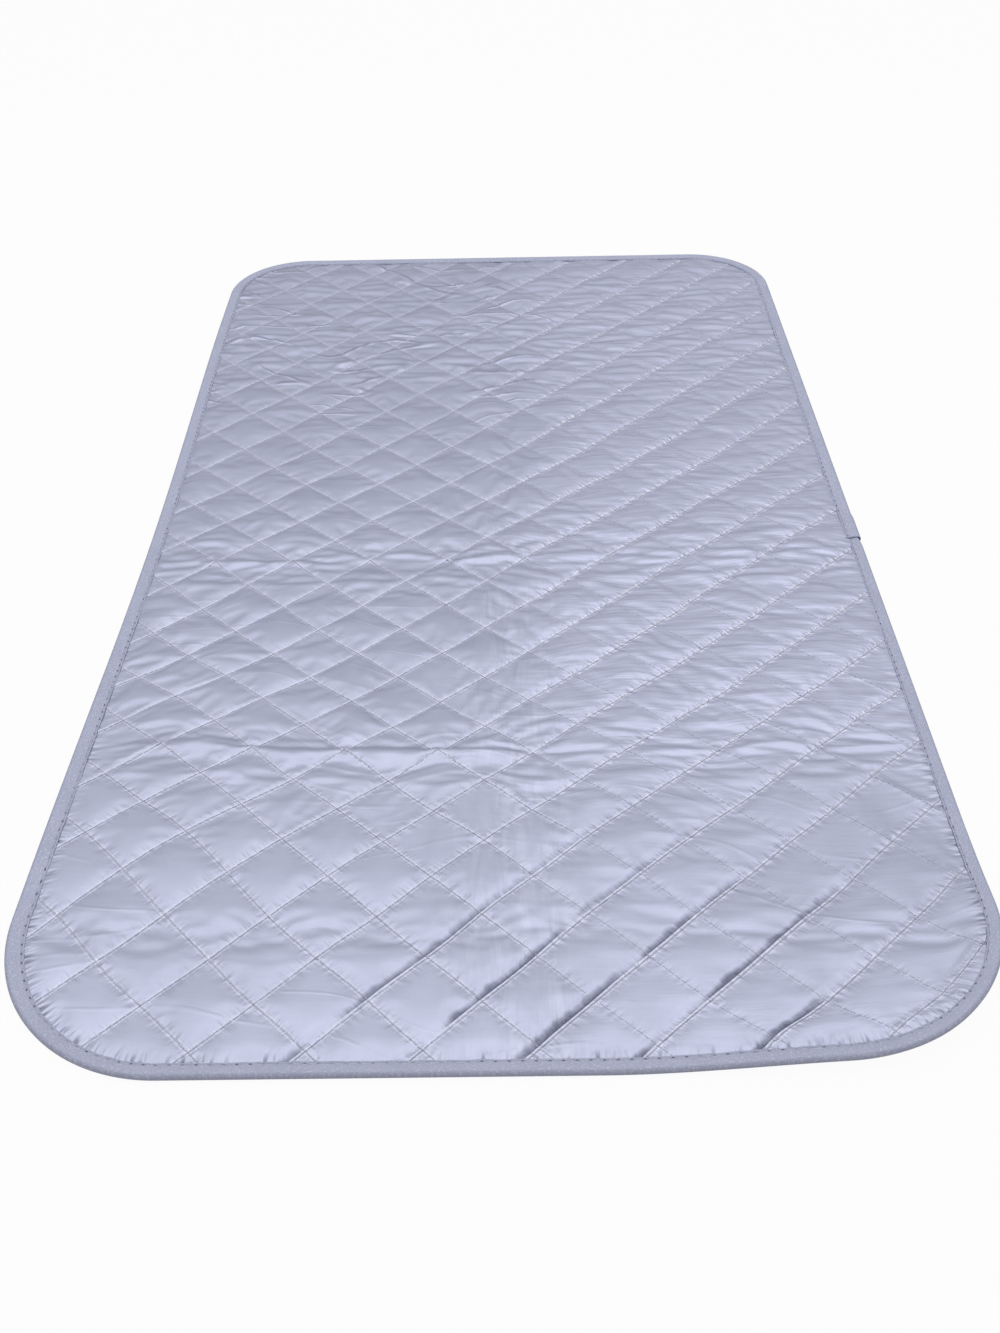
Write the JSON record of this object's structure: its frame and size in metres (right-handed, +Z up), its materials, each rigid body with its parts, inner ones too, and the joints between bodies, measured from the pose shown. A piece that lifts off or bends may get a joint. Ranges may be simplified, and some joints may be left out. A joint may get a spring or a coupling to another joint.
{
  "type": "ironing pad",
  "caption": "Flat quilted ironing pad with rounded corners, a silver diamond-stitched face over wadding, a cloth back and a bound edge; it folds in half face to face.",
  "frame": {"origin": "middle of the pad in plan, on the surface that it lies on", "axes": "+X across the width to the right, +Y along the length from the front edge to the rear edge, +Z up out of the ironing face"},
  "size_m": [0.4805, 0.85, 0.0063],
  "materials": {
    "face": "satin metallic coating on woven cloth",
    "wadding": "soft matt batting",
    "backing": "matt plain weave",
    "tape": "matt woven tape",
    "thread": "twisted sewing thread"
  },
  "bodies": {
    "front_half": {"face_cloth_front": "face", "wadding_front": "wadding", "backing_cloth_front": "backing", "edge_binding_front": "tape", "rising_quilt_thread_front": "thread", "falling_quilt_thread_front": "thread", "rising_bobbin_thread_front": "thread", "falling_bobbin_thread_front": "thread", "binding_seam_thread_front": "thread", "binding_bobbin_thread_front": "thread"},
    "rear_half": {"face_cloth_rear": "face", "wadding_rear": "wadding", "backing_cloth_rear": "backing", "edge_binding_rear": "tape", "rising_quilt_thread_rear": "thread", "falling_quilt_thread_rear": "thread", "rising_bobbin_thread_rear": "thread", "falling_bobbin_thread_rear": "thread", "binding_seam_thread_rear": "thread", "binding_bobbin_thread_rear": "thread"}
  },
  "joints": [
    {"name": "middle_fold", "type": "hinge", "parent": "front_half", "child": "rear_half", "pos_m": [0, 0, 0.009], "axis": [1, 0, 0], "range_deg": [0, 180]}
  ]
}
